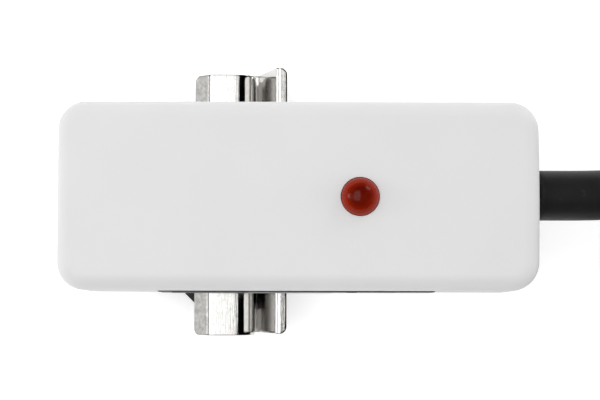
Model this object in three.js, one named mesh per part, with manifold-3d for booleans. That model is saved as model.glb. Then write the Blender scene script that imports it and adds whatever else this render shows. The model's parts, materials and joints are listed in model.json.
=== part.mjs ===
// A clip-on rectangular proximity sensor: a white two-part housing with an indicator lamp, its board and
// sensing coil inside, a sheet steel clip with a springing latch leaf below it on a black saddle, and half
// a metre of cable wound into a coil. Millimetres. X runs along the housing towards the cable, Y across
// it, Z up. The origin is on the surface that the foot pad stands on, under the middle of the housing.
import * as THREE from "three";
import { mergeVertices } from "three/addons/utils/BufferGeometryUtils.js";
import Module from "manifold-3d";

const wasm = await Module();
wasm.setup();

// ---------------------------------------------------------------- driving dimensions
const CLEAR = 0.05; // between two flat faces that bear on each other
const HOLE = 0.1; // a hole's radius beyond the radius of the piece that stands in it
const SCREW_HOLE = 0.15; // the same for a screw's shank in sheet metal
const JOIN = 0.1; // how far a raised shape runs into the face that it is moulded on
const CORD_GAP = 0.3; // between the faces of two lengths of cable
const ROUND = 16; // sides of a small round piece
const FINE = 24; // sides of the lamp and of the sensing coil

const housing = {
  length: 37.6,
  width: 14.95,
  base: 7.4, // underside of the cover
  seam: 8.6, // where the cover meets the shell
  top: 17.0,
  corner: 2.3, // plan radius
  edge: 1.3, // radius of the top edge
  wall: 1.2,
};
const inside = {
  length: housing.length - 2 * housing.wall,
  width: housing.width - 2 * housing.wall,
  corner: housing.corner - housing.wall,
  ceiling: housing.top - housing.wall,
};
const rim = { gap: 0.1, thick: 0.8, top: 9.4 }; // the cover's lip inside the shell
const coverScrew = { x: 15.7, y: 4.5, post: 1.5, head: 1.5, headTop: 8.4, shank: 0.8, tip: 14.2 };
const label = { length: 22.4, centre: -0.3, low: 9.9, high: 14.9, corner: 0.45, thick: 0.1 };

const lamp = { x: 4.8, y: -0.1, radius: 1.5, flange: 1.9, base: 13.0, flangeTop: 14.0, shoulder: 16.7,
  pitch: 2.54 };
const lampLead = { side: 0.45, low: 10.0, hole: 0.45 };
const board = { x0: -6.6, x1: 11.8, halfWidth: 5.7, low: 10.4, thick: 0.8,
  postX0: -5.0, postX1: 9.5, postY: 4.4, post: 1.0 };
board.top = board.low + board.thick;
// What stands on the board. A cap is the metal end of a two-ended part.
const driver = { x: -0.6, y: 0, length: 4.9, width: 3.9, high: 1.5, pitch: 1.27, leg: 0.4 };
const transistor = { x: 7.8, y: -3.6, length: 4.5, width: 2.5, high: 1.5, pitch: 1.5, leg: 0.5 };
const diode = { x: 8.4, y: 4.1, length: 4.2, width: 2.5, high: 2.1, cap: 0.4 };
const capacitor = { x: 2.6, y: 4.1, length: 3.5, width: 2.6, high: 1.8, cap: 0.5 };
const resistor = { xFront: 2.6, xBack: -3.4, y: -4.3, length: 3.0, width: 1.5, high: 0.6, cap: 0.45 };
const core = { x: -11.2, radius: 4.2, low: 11.9, high: 15.6, post: 1.7, wall: 0.85, floor: 0.9, rest: 1.2,
  slot: 0.9 };
const winding = { gap: 0.15, lead: 0.15 };

const sheet = { thick: 0.4, length: 22.2, corner: 0.6 };
// The hook plate's upper face: sloping lip, flat, and a shoulder rolled about rollX, ending in a short drop.
const plate = {
  lipX: -8.88, lipZ: 2.6, bendX: -7.59, top: 3.9, rollX: -5.1, roll: 1.43, drop: 0.35, y: -0.04,
};
// The plate's and the leaf's tongue under the housing.
const tab = { x0: -13.4, plateX1: -6.5, halfWidth: 6.0, corner: 1.0 };
// The latch leaf's middle line: its flat foot, the root it flexes at, the steep wall and the outward lip.
const leaf = { z: 1.35, hingeX: -4.1, rootX: -3.5, footX: -3.11, footZ: 2.24, topX: -1.72, topZ: 6.4,
  lipZ: 6.7, endX: -0.92, y: 0.16, strip: 1.2 };
const saddle = {
  x0: -13.6, x1: -5.4, flareX: -8.3, halfWidth: 7.1, flareHalf: 9.0, low: 1.6, flareTop: 2.1, inset: 0.4,
};
const pad = { high: 1.1, x1: -4.6 };
const boss = { x0: -13.4, x1: -5.3, halfWidth: 6.0, corner: 1.0 };
const clipScrew = { x: -11.0, y: 3.6, head: 1.7, headLow: 0.35, shank: 0.9, tip: 7.8 };
const insert = { radius: 1.5, low: 4.0, high: 8.0, boss: 2.3, bossTop: 9.6 };

const cable = { radius: 2.0, y: 0.28, z: 12.2, innerEnd: 13.0, core: 0.5, innerCore: 0.45 };
const bush = { radius: 2.65, length: 1.5 };
const clamp = { x: 13.6, radius: 2.5, length: 1.2 };
const coil = { x: 51.0, y: -12.8, inner: 16.0, outer: 24.0, high: 8.0, bevel: 0.8 };
const tie = { thick: 0.5, width: 3.4, gap: 0.35, corner: 1.4, angle: -50, headLength: 2.4, headWidth: 4.6,
  headLow: 2.4, headHigh: 6.2 };
const tip = { radius: 0.33, length: 4.5 };

// The lead leaves the housing level, dips slightly and comes to rest on the coil's near side.
const leadRoute = [
  [18.95, 0.28, 12.2], [20.7, 0.28, 12.2], [22.5, 0.29, 12.2], [24.5, 0.35, 12.15], [27.0, 0.52, 11.8],
  [30.0, 0.98, 11.15], [33.0, 1.67, 10.65], [36.0, 2.5, 10.45], [38.5, 3.2, 10.4],
];
// The tail comes off the innermost turn inside the coil's hole: bearing round the coil, radius and height.
const tailRoute = [[226, 13.7, 2.05], [218, 13.7, 2.05], [210, 13.7, 2.05], [202, 13.7, 2.05]];
const coreRoutes = {
  brown: [[200, 14.8, 2.1], [186, 14.8, 1.3], [168, 14.7, 0.6], [145, 14.2, 0.6], [112, 13.2, 0.6]],
  black: [[200, 13.6, 2.1], [186, 13.5, 1.3], [168, 13.2, 0.6], [142, 12.4, 0.6], [106, 10.9, 0.6]],
  blue: [[200, 12.4, 2.1], [186, 12.2, 1.3], [168, 11.6, 0.6], [138, 10.2, 0.6], [98, 8.4, 0.6]],
};

// ---------------------------------------------------------------- materials
const plain = (color, roughness, metalness = 0) =>
  new THREE.MeshStandardMaterial({ color, roughness, metalness });
const materials = {
  whiteShell: plain("#e4e4e2", 0.55),
  blackNylon: plain("#161616", 0.5),
  brightSteel: plain("#cfcfcb", 0.18, 1),
  zincSteel: plain("#a9abad", 0.35, 1),
  redLens: plain("#8a1206", 0.08),
  tinnedLead: plain("#bfc0c0", 0.3, 1),
  boardGreen: plain("#1d5a35", 0.5),
  chipBlack: plain("#1b1b1c", 0.6),
  amberChip: plain("#b5832b", 0.5),
  ferrite: plain("#3b3b3d", 0.7),
  copper: plain("#b5653a", 0.3, 1),
  brass: plain("#b9963f", 0.3, 1),
  cableBlack: plain("#1f1f1f", 0.55),
  padRubber: plain("#262626", 0.8),
  labelBlack: plain("#141414", 0.45),
  tieNylon: plain("#101010", 0.45),
  wireBrown: plain("#5b3216", 0.45),
  wireBlue: plain("#1c4c9a", 0.45),
  wireBlack: plain("#181818", 0.45),
};

// ---------------------------------------------------------------- shape helpers
// A closed geometry as a solid that can be joined and cut.
function solid(geometry) {
  const bare = geometry.index ? geometry.toNonIndexed() : geometry.clone();
  bare.deleteAttribute("normal");
  bare.deleteAttribute("uv");
  const merged = mergeVertices(bare, 1e-4);
  return new wasm.Manifold(
    new wasm.Mesh({
      numProp: 3,
      vertProperties: merged.attributes.position.array,
      triVerts: new Uint32Array(merged.index.array),
    }),
  );
}

// A solid back as a geometry.
function geometryOf(made) {
  const { numProp, numVert, vertProperties, triVerts } = made.getMesh();
  const position = new Float32Array(numVert * 3);
  for (let i = 0; i < numVert; i++) {
    position.set(vertProperties.subarray(i * numProp, i * numProp + 3), i * 3);
  }
  const geometry = new THREE.BufferGeometry()
    .setAttribute("position", new THREE.BufferAttribute(position, 3))
    .setIndex(new THREE.BufferAttribute(triVerts, 1));
  geometry.computeVertexNormals();
  return geometry;
}

const box = (x0, x1, y0, y1, z0, z1) =>
  new THREE.BoxGeometry(x1 - x0, y1 - y0, z1 - z0).translate((x0 + x1) / 2, (y0 + y1) / 2, (z0 + z1) / 2);

const rod = (radius, z0, z1, x = 0, y = 0, sides = ROUND) =>
  new THREE.CylinderGeometry(radius, radius, z1 - z0, sides)
    .rotateX(Math.PI / 2)
    .translate(x, y, (z0 + z1) / 2);

function roundedRectangle(length, width, radius) {
  const [x, y] = [length / 2, width / 2];
  const shape = new THREE.Shape();
  shape.moveTo(x, -y + radius);
  shape.absarc(x - radius, y - radius, radius, 0, Math.PI / 2);
  shape.absarc(-x + radius, y - radius, radius, Math.PI / 2, Math.PI);
  shape.absarc(-x + radius, -y + radius, radius, Math.PI, 1.5 * Math.PI);
  shape.absarc(x - radius, -y + radius, radius, 1.5 * Math.PI, 2 * Math.PI);
  return shape;
}

const polygon = (points) => new THREE.Shape(points.map(([x, y]) => new THREE.Vector2(x, y)));

const slab = (shape, z0, z1, curveSegments = 4) =>
  new THREE.ExtrudeGeometry(shape, { depth: z1 - z0, bevelEnabled: false, curveSegments })
    .translate(0, 0, z0);

// A shape drawn in X and Z, extruded across the part from -halfWidth to halfWidth in Y.
const acrossY = (shape, halfWidth) =>
  new THREE.ExtrudeGeometry(shape, { depth: 2 * halfWidth, bevelEnabled: false })
    .rotateX(Math.PI / 2)
    .translate(0, halfWidth, 0);

// The outline of sheet metal of a given thickness whose middle line is a list of [x, z] points.
function sheetOutline(middle, thickness) {
  const points = middle.map(([x, z]) => new THREE.Vector2(x, z));
  const sides = points.map((point, i) => {
    const before = points[Math.max(i - 1, 0)];
    const after = points[Math.min(i + 1, points.length - 1)];
    const along = after.clone().sub(before).normalize();
    return new THREE.Vector2(-along.y, along.x).multiplyScalar(thickness / 2);
  });
  const one = points.map((point, i) => point.clone().add(sides[i]));
  const other = points.map((point, i) => point.clone().sub(sides[i])).reverse();
  return new THREE.Shape([...other, ...one].reverse());
}

// Points on a circle, from one angle to another, in degrees.
function arc(x, z, radius, from, to, steps) {
  return Array.from({ length: steps + 1 }, (_, i) => {
    const angle = THREE.MathUtils.degToRad(from + ((to - from) * i) / steps);
    return [x + radius * Math.cos(angle), z + radius * Math.sin(angle)];
  });
}

// A round bar along a smooth curve through points.
function tube(points, radius, steps, sides) {
  const path = new THREE.CatmullRomCurve3(points.map((point) => new THREE.Vector3(...point)));
  const section = new THREE.Shape(
    Array.from({ length: sides }, (_, i) => {
      const angle = (2 * Math.PI * i) / sides;
      return new THREE.Vector2(radius * Math.cos(angle), radius * Math.sin(angle));
    }),
  );
  return new THREE.ExtrudeGeometry(section, { steps, extrudePath: path, bevelEnabled: false });
}

// A ring about the Z axis, drawn as a closed profile of [radius, z] points.
const lathe = (profile, sides) =>
  new THREE.LatheGeometry(profile.map(([r, z]) => new THREE.Vector2(r, z)), sides).rotateX(Math.PI / 2);

const ring = (inner, outer, z0, z1, sides = ROUND) =>
  lathe([[inner, z0], [outer, z0], [outer, z1], [inner, z1], [inner, z0]], sides);

const joinTo = (made, ...shapes) => shapes.reduce((whole, shape) => whole.add(solid(shape)), made);
const cutFrom = (made, ...shapes) => shapes.reduce((whole, shape) => whole.subtract(solid(shape)), made);

// A shape about the Z axis laid along the cable's own axis, starting at x0.
const onCableAxis = (geometry, x0) => geometry.rotateY(Math.PI / 2).translate(x0, cable.y, cable.z);

function mesh(name, shape, material, place = [0, 0, 0]) {
  const made = new THREE.Mesh(shape.isBufferGeometry ? shape : geometryOf(shape), material);
  made.name = name;
  made.position.set(...place);
  return made;
}

const group = (...children) => new THREE.Group().add(...children);

// ---------------------------------------------------------------- housing
const housingPlan = () => roundedRectangle(housing.length, housing.width, housing.corner);
const cornerPlaces = [-1, 1].flatMap((sx) => [-1, 1].map((sy) => [sx * coverScrew.x, sy * coverScrew.y]));
const screwPlaces = [-1, 1].map((side) => [clipScrew.x, side * clipScrew.y]);

function shellBody() {
  const low = housing.seam + CLEAR;
  const rounded = new THREE.ExtrudeGeometry(housingPlan(), {
    depth: housing.top - low,
    bevelThickness: housing.edge,
    bevelSize: housing.edge,
    bevelOffset: -housing.edge,
    bevelSegments: 4,
    curveSegments: 6,
  }).translate(0, 0, low - housing.edge);
  const below = box(-housing.length, housing.length, -housing.width, housing.width, -housing.top, low);
  return solid(rounded).subtract(solid(below));
}

function topShell() {
  const cavity = slab(roundedRectangle(inside.length, inside.width, inside.corner), 0, inside.ceiling);
  const cableHole = onCableAxis(
    rod(cable.radius + HOLE, 0, 2 * housing.wall), housing.length / 2 - 1.5 * housing.wall,
  );
  const posts = cornerPlaces.map(([x, y]) =>
    rod(coverScrew.post, rim.top + HOLE, inside.ceiling + JOIN, x, y),
  );
  const bores = cornerPlaces.map(([x, y]) =>
    rod(coverScrew.shank + CLEAR, 0, coverScrew.tip + CORD_GAP, x, y),
  );
  const lampHole = rod(
    lamp.radius + HOLE, inside.ceiling - JOIN, housing.top + JOIN, lamp.x, lamp.y, FINE,
  );
  const hollow = cutFrom(shellBody(), cavity, cableHole);
  return cutFrom(joinTo(hollow, ...posts), ...bores, lampHole);
}

function baseCover() {
  const rimOuter = [inside.length - 2 * rim.gap, inside.width - 2 * rim.gap];
  const rimInner = rimOuter.map((size) => size - 2 * rim.thick);
  const floor = slab(housingPlan(), housing.base, housing.seam);
  const rimRing = cutFrom(
    solid(slab(roundedRectangle(...rimOuter, inside.corner), housing.seam - JOIN, rim.top)),
    slab(roundedRectangle(...rimInner, inside.corner - rim.thick), 0, housing.top),
  );
  const clipBoss = slab(
    roundedRectangle(boss.x1 - boss.x0, 2 * boss.halfWidth, boss.corner), plate.top + CLEAR,
    housing.base + JOIN,
  ).translate((boss.x0 + boss.x1) / 2, 0, 0);
  const raised = (radius, top, [x, y]) => rod(radius, housing.seam - JOIN, top, x, y);
  const cover = joinTo(
    solid(floor).add(rimRing),
    clipBoss,
    ...cornerPlaces.map((place) => raised(coverScrew.post, rim.top, place)),
    ...screwPlaces.map((place) => raised(insert.boss, insert.bossTop, place)),
    ...[board.postX0, board.postX1].flatMap((x) =>
      [-1, 1].map((side) => raised(board.post, board.low - CLEAR, [x, side * board.postY])),
    ),
    raised(core.rest, core.low - CLEAR, [core.x, 0]),
  );
  return cutFrom(
    cover,
    ...cornerPlaces.flatMap(([x, y]) => [
      rod(coverScrew.head + HOLE, 0, coverScrew.headTop + CLEAR, x, y),
      rod(coverScrew.shank + HOLE, 0, housing.top, x, y),
    ]),
    ...screwPlaces.map(([x, y]) => rod(insert.radius + CLEAR, 0, insert.high + CLEAR, x, y)),
  );
}

// A film on the outside of the wall.
const sideLabel = () =>
  slab(roundedRectangle(label.length, label.high - label.low, label.corner), 0, label.thick)
    .rotateX(Math.PI / 2)
    .translate(label.centre, -housing.width / 2 - CLEAR, (label.low + label.high) / 2);

// A pan-head screw standing on its head at z = 0, with a cross recess cut into the head.
function screw(headRadius, headHeight, shankRadius, length) {
  const recess = 0.55; // of the head's radius and height
  const arm = headRadius * recess;
  const depth = headHeight * recess;
  const slot = 0.17;
  return cutFrom(
    joinTo(solid(rod(headRadius, 0, headHeight)), rod(shankRadius, headHeight / 2, length)),
    box(-arm, arm, -slot, slot, -1, depth),
    box(-slot, slot, -arm, arm, -1, depth),
  );
}

function housingParts() {
  const low = housing.base + CLEAR;
  const shape = screw(coverScrew.head, coverScrew.headTop - low, coverScrew.shank, coverScrew.tip - low);
  return group(
    mesh("top_shell", topShell(), materials.whiteShell),
    mesh("base_cover", baseCover(), materials.whiteShell),
    mesh("side_label", sideLabel(), materials.labelBlack),
    ...cornerPlaces.map((place, i) =>
      mesh(`cover_screw_${i + 1}`, shape, materials.zincSteel, [...place, low]),
    ),
  );
}

// ---------------------------------------------------------------- lamp, board and sensing coil
function lampLens() {
  const dome = arc(0, lamp.shoulder, lamp.radius, 0, 90, 6);
  dome[dome.length - 1][0] = 0;
  return lathe([[0, lamp.base], [lamp.flange, lamp.base], [lamp.flange, lamp.flangeTop],
    [lamp.radius, lamp.flangeTop], ...dome], FINE);
}

const legPlaces = [-1, 1].map((side) => lamp.x + (side * lamp.pitch) / 2);

function lampLegs() {
  const half = lampLead.side / 2;
  const leg = box(-half, half, -half, half, lampLead.low, lamp.base - CLEAR);
  return ["lamp_anode", "lamp_cathode"].map((name, i) =>
    mesh(name, leg, materials.tinnedLead, [legPlaces[i], lamp.y, 0]),
  );
}

const circuitBoard = () =>
  cutFrom(
    solid(box(board.x0, board.x1, -board.halfWidth, board.halfWidth, board.low, board.top)),
    ...legPlaces.map((x) => rod(lampLead.hole, 0, housing.top, x, lamp.y)),
  );

// A chip with a moulded body and its legs or end caps, standing on the board at z = 0.
const chip = ({ length, width, high }, legs) =>
  joinTo(
    solid(box(-length / 2, length / 2, -width / 2, width / 2, JOIN, high)),
    ...legs.map((leg) => box(...leg)),
  );

// A body with four gull-wing legs down each long side: out of the body, down, and out along the board.
function driverChip() {
  const { pitch, leg, width } = driver;
  const [edge, bendOut, toe, thick] = [width / 2, width / 2 + 0.4, width / 2 + 0.9, 0.2];
  const steps = [
    [edge - JOIN, bendOut, 0.6, 0.8], [bendOut - thick, bendOut, 0, 0.8], [bendOut - thick, toe, 0, thick],
  ];
  const legs = [-1.5, -0.5, 0.5, 1.5].flatMap((place) =>
    [-1, 1].flatMap((side) =>
      steps.map(([near, far, low, high]) => [
        place * pitch - leg / 2, place * pitch + leg / 2,
        Math.min(side * near, side * far), Math.max(side * near, side * far), low, high,
      ]),
    ),
  );
  return chip(driver, legs);
}

// A power transistor: one broad tab at the back and three narrow legs at the front.
function outputTransistor() {
  const { pitch, leg, width } = transistor;
  const [thick, reach, tabHalf] = [0.4, 0.7, 1.7];
  return chip(transistor, [
    [-tabHalf, tabHalf, width / 2 - JOIN, width / 2 + reach, 0, thick],
    ...[-pitch, 0, pitch].map((x) => [
      x - leg / 2, x + leg / 2, -width / 2 - reach, -width / 2 + JOIN, 0, thick,
    ]),
  ]);
}

// A two-ended part whose caps wrap its ends.
function cappedChip(size) {
  const { length, width, high, cap } = size;
  const [end, side] = [length / 2 + CLEAR, width / 2 + CLEAR];
  return chip(size, [
    [-end, -length / 2 + cap, -side, side, 0, high + CLEAR],
    [length / 2 - cap, end, -side, side, 0, high + CLEAR],
  ]);
}

function ferriteCore() {
  const { radius, low, high, post, wall, floor, slot } = core;
  const cup = lathe([
    [0, low], [radius, low], [radius, high], [radius - wall, high],
    [radius - wall, low + floor], [post, low + floor], [post, high], [0, high],
  ], FINE);
  return cutFrom(
    solid(cup), box(post + winding.gap, radius + wall, -slot, slot, low + floor + JOIN, high + JOIN),
  );
}

const coilWinding = () =>
  ring(
    core.post + winding.gap, core.radius - core.wall - winding.gap,
    core.low + core.floor + winding.gap, core.high - winding.gap, FINE,
  );

// A wire from the winding out through the pot core's slot and down to the board.
function coilLead(side) {
  const slot = core.x + core.radius - core.wall;
  return tube([
    [slot + 0.1, side * 0.4, 14.3], [slot + 0.9, side * 0.5, 14.1],
    [slot + 1.8, side * 0.8, 12.9], [slot + 2.1, side * 1.0, board.top + winding.lead + HOLE],
  ], winding.lead, 8, 8);
}

function electronics() {
  const z = board.top + CLEAR;
  const { chipBlack, amberChip, ferrite, copper } = materials;
  return group(
    mesh("lamp_lens", lampLens(), materials.redLens, [lamp.x, lamp.y, 0]),
    ...lampLegs(),
    mesh("circuit_board", circuitBoard(), materials.boardGreen),
    mesh("driver_chip", driverChip(), chipBlack, [driver.x, driver.y, z]),
    mesh("output_transistor", outputTransistor(), chipBlack, [transistor.x, transistor.y, z]),
    mesh("surge_diode", cappedChip(diode), chipBlack, [diode.x, diode.y, z]),
    mesh("filter_capacitor", cappedChip(capacitor), amberChip, [capacitor.x, capacitor.y, z]),
    mesh("resistor_front", cappedChip(resistor), chipBlack, [resistor.xFront, resistor.y, z]),
    mesh("resistor_back", cappedChip(resistor), chipBlack, [resistor.xBack, resistor.y, z]),
    mesh("ferrite_core", ferriteCore(), ferrite, [core.x, 0, 0]),
    mesh("coil_winding", coilWinding(), copper, [core.x, 0, 0]),
    mesh("coil_lead_start", coilLead(-1), copper),
    mesh("coil_lead_end", coilLead(1), copper),
  );
}

// ---------------------------------------------------------------- saddle and clip
// A plan outline that widens at 45 degrees from under the housing to the ends of the clip.
function flaredOutline(x1) {
  const { x0, flareX, halfWidth, flareHalf } = saddle;
  const upper = [[x1, flareHalf], [flareX, flareHalf], [flareX - (flareHalf - halfWidth), halfWidth],
    [x0 + 1, halfWidth], [x0, halfWidth - 1]];
  return polygon([...upper, ...upper.map(([x, y]) => [x, -y]).reverse()]);
}

const screwBores = (radius) => screwPlaces.map(([x, y]) => rod(radius, -1, housing.base, x, y));

const footPad = () =>
  cutFrom(solid(slab(flaredOutline(pad.x1), 0, pad.high)), ...screwBores(clipScrew.head + 2 * HOLE));

function saddleBlock() {
  const high = plate.top - sheet.thick - CLEAR;
  const endHalf = saddle.flareHalf - saddle.inset;
  return cutFrom(
    joinTo(
      solid(slab(flaredOutline(saddle.x1), saddle.low, saddle.flareTop)),
      box(saddle.x0, saddle.x1, -tab.halfWidth, tab.halfWidth, saddle.low + JOIN, high),
      box(plate.bendX + 0.3, saddle.x1, -endHalf, endHalf, saddle.low + JOIN, high),
    ),
    ...screwBores(clipScrew.shank + SCREW_HOLE),
  );
}

// Sheet metal across the part, cut to a plan outline with rounded corners.
const formedSheet = (middle, x0, x1) =>
  solid(acrossY(sheetOutline(middle, sheet.thick), sheet.length / 2)).intersect(
    solid(
      slab(roundedRectangle(x1 - x0, sheet.length, sheet.corner), -1, housing.top)
        .translate((x0 + x1) / 2, 0, 0),
    ),
  );

function hookPlate() {
  const half = sheet.thick / 2;
  const z = plate.top - half;
  const shoulder = arc(plate.rollX, plate.top - plate.roll, plate.roll - half, 90, 0, 8);
  const [endX, endZ] = shoulder[shoulder.length - 1];
  const middle = [[plate.lipX + half * 0.7, plate.lipZ - half * 0.7], [plate.bendX - 0.06, z - 0.14],
    [plate.bendX + 0.22, z], ...shoulder, [endX, endZ - plate.drop]];
  const formed = formedSheet(middle, plate.lipX, plate.rollX + plate.roll);
  const notch = tab.halfWidth + sheet.thick;
  const gapForTab = box(plate.lipX - 1, plate.bendX + 0.3, -notch, notch, 0, housing.base);
  const tongue = slab(
    roundedRectangle(tab.plateX1 - tab.x0, 2 * tab.halfWidth, tab.corner),
    plate.top - sheet.thick, plate.top,
  ).translate((tab.x0 + tab.plateX1) / 2, -plate.y, 0);
  return cutFrom(
    joinTo(cutFrom(formed, gapForTab), tongue),
    ...screwPlaces.map(([x, y]) => rod(clipScrew.shank + SCREW_HOLE, 0, housing.base, x, y - plate.y)),
  );
}

function leafFoot() {
  const [low, high] = [leaf.z - sheet.thick / 2, leaf.z + sheet.thick / 2];
  const right = leaf.hingeX - CLEAR;
  const tongueEnd = right - leaf.strip / 2;
  const tongue = slab(
    roundedRectangle(tongueEnd - tab.x0, 2 * tab.halfWidth, tab.corner / 2), low, high,
  );
  return cutFrom(
    joinTo(
      solid(box(right - leaf.strip, right, -sheet.length / 2, sheet.length / 2, low, high)),
      tongue.translate((tab.x0 + tongueEnd) / 2, -leaf.y, 0),
    ),
    ...screwPlaces.map(([x, y]) => rod(clipScrew.shank + SCREW_HOLE, 0, housing.base, x, y - leaf.y)),
  );
}

function latchLeaf() {
  const middle = [
    [leaf.hingeX + CLEAR, leaf.z], [leaf.rootX - 0.1, leaf.z], [leaf.rootX + 0.12, leaf.z + 0.12],
    [leaf.rootX + 0.26, leaf.z + 0.42], [leaf.footX, leaf.footZ], [leaf.topX, leaf.topZ],
    [leaf.topX + 0.09, leaf.lipZ - 0.08], [leaf.topX + 0.24, leaf.lipZ], [leaf.endX, leaf.lipZ],
  ];
  // The plan outline starts well left of the root, so only the lip's corners are rounded.
  return formedSheet(middle, leaf.hingeX - 2, leaf.endX);
}

function clipParts() {
  const headTop = leaf.z - sheet.thick / 2 - CLEAR;
  const shape = screw(
    clipScrew.head, headTop - clipScrew.headLow, clipScrew.shank, clipScrew.tip - clipScrew.headLow,
  );
  const thread = ring(clipScrew.shank + 0.05, insert.radius, insert.low, insert.high);
  return group(
    mesh("foot_pad", footPad(), materials.padRubber),
    mesh("saddle_block", saddleBlock(), materials.blackNylon),
    mesh("hook_plate", hookPlate(), materials.brightSteel, [0, plate.y, 0]),
    mesh("leaf_foot", leafFoot(), materials.brightSteel, [0, leaf.y, 0]),
    mesh("latch_leaf", latchLeaf(), materials.brightSteel, [0, leaf.y, 0]),
    ...["front", "back"].flatMap((name, i) => [
      mesh(`clip_screw_${name}`, shape, materials.zincSteel, [...screwPlaces[i], clipScrew.headLow]),
      mesh(`thread_insert_${name}`, thread, materials.brass, [...screwPlaces[i], 0]),
    ]),
  );
}

// ---------------------------------------------------------------- cable
const coreMaterials = { brown: materials.wireBrown, black: materials.wireBlack, blue: materials.wireBlue };

function cableInside() {
  const wallInner = inside.length / 2;
  const starts = { brown: [0.9, 0.4], black: [0, 1.0], blue: [-0.9, 0.4] };
  const onPad = board.top + cable.core + CLEAR;
  const end = housing.length / 2 - CORD_GAP / 2;
  const { y, z, radius, innerEnd } = cable;
  const wires = Object.entries(starts).map(([colour, [dy, dz]]) =>
    mesh(`inner_wire_${colour}`, tube([
      [innerEnd - CORD_GAP, y + dy, z + dz], [12.2, y + 1.2 * dy, onPad + 0.4],
      [11.5, y + 1.5 * dy, onPad + 0.1], [10.7, y + 1.8 * dy, onPad],
    ], cable.innerCore, 6, 8), coreMaterials[colour]),
  );
  return [
    mesh("cable_inner", onCableAxis(rod(radius, 0, end - innerEnd), innerEnd), materials.cableBlack),
    mesh("cable_bush",
      onCableAxis(ring(radius + CLEAR, bush.radius, 0, bush.length), wallInner - bush.length - CLEAR),
      materials.padRubber),
    mesh("cable_clamp", onCableAxis(ring(radius + CLEAR, clamp.radius, 0, clamp.length), clamp.x),
      materials.zincSteel),
    ...wires,
  ];
}

// The tie's loop round the bundle on the coil's +X side, or with grow the room that it needs in the coil.
function tieLoop(grow) {
  const [x0, x1] = [coil.inner - tie.gap, coil.outer + tie.gap];
  const [z0, z1] = [tie.thick, coil.high + tie.gap];
  const frame = (extra, radius) =>
    new THREE.ExtrudeGeometry(roundedRectangle(x1 - x0 + 2 * extra, z1 - z0 + 2 * extra, radius), {
      depth: tie.width + 2 * Math.abs(grow), bevelEnabled: false, curveSegments: 4,
    })
      .rotateX(Math.PI / 2)
      .translate((x0 + x1) / 2, tie.width / 2 + Math.abs(grow), (z0 + z1) / 2);
  return cutFrom(solid(frame(tie.thick + grow, tie.corner)), frame(-grow, tie.corner - tie.thick + JOIN));
}

function cableCoil() {
  const { inner, outer, high, bevel } = coil;
  const profile = [
    [inner + bevel, 0], [outer - bevel, 0], [outer, bevel], [outer, high - bevel], [outer - bevel, high],
    [inner + bevel, high], [inner, high - bevel], [inner, bevel], [inner + bevel, 0],
  ];
  return solid(lathe(profile, 40)).subtract(tieLoop(CORD_GAP));
}

function coilTie() {
  const side = coil.outer + tie.gap + tie.thick;
  const half = tie.headWidth / 2;
  return joinTo(tieLoop(0), box(side - JOIN, side + tie.headLength, -half, half, tie.headLow, tie.headHigh));
}

function cableOutside() {
  const place = [coil.x, coil.y, 0];
  const turn = THREE.MathUtils.degToRad(tie.angle);
  const aroundCoil = ([bearing, radius, z]) => {
    const angle = THREE.MathUtils.degToRad(bearing);
    return [coil.x + radius * Math.cos(angle), coil.y + radius * Math.sin(angle), z];
  };
  const ringMesh = mesh("cable_coil", cableCoil(), materials.cableBlack, place);
  const tieMesh = mesh("coil_tie", coilTie(), materials.tieNylon, place);
  for (const turned of [ringMesh, tieMesh]) turned.rotation.z = turn;
  const cores = Object.entries(coreRoutes).flatMap(([colour, polar]) => {
    const route = polar.map(aroundCoil);
    const [before, end] = route.slice(-2).map((point) => new THREE.Vector3(...point));
    const along = end.clone().sub(before).normalize();
    const bare = [CORD_GAP, CORD_GAP + tip.length].map((far) =>
      end.clone().addScaledVector(along, far).toArray(),
    );
    return [
      mesh(`core_${colour}`, tube(route, cable.core, 9, 8), coreMaterials[colour]),
      mesh(`tinned_end_${colour}`, tube(bare, tip.radius, 1, 8), materials.tinnedLead),
    ];
  });
  return [
    mesh("cable_lead", tube(leadRoute, cable.radius, 12, 12), materials.cableBlack),
    ringMesh,
    mesh("cable_tail", tube(tailRoute.map(aroundCoil), cable.radius, 4, 12), materials.cableBlack),
    tieMesh,
    ...cores,
  ];
}

export default group(housingParts(), electronics(), clipParts(), ...cableInside(), ...cableOutside());
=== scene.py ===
"""A clip-on proximity sensor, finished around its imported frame. Metres, +Z up, the frame's own axes."""
import json
import math

import bmesh
import bpy
import numpy as np
from mathutils import Matrix, Vector


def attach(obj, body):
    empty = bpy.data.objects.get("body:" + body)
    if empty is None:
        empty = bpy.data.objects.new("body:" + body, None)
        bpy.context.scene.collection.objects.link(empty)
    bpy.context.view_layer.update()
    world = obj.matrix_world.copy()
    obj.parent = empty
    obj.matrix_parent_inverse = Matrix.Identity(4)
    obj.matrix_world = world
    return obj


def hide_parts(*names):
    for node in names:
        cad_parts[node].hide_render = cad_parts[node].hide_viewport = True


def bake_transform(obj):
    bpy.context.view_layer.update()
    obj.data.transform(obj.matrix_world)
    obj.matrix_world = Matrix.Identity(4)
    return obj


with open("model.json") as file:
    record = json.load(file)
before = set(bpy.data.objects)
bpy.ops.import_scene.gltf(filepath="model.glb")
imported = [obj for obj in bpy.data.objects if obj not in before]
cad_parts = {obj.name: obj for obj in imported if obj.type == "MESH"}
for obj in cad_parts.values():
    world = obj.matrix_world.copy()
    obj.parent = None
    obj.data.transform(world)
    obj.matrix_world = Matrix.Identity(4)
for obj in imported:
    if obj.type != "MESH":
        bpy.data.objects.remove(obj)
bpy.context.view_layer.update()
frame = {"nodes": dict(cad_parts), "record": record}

MM = 0.001

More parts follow.
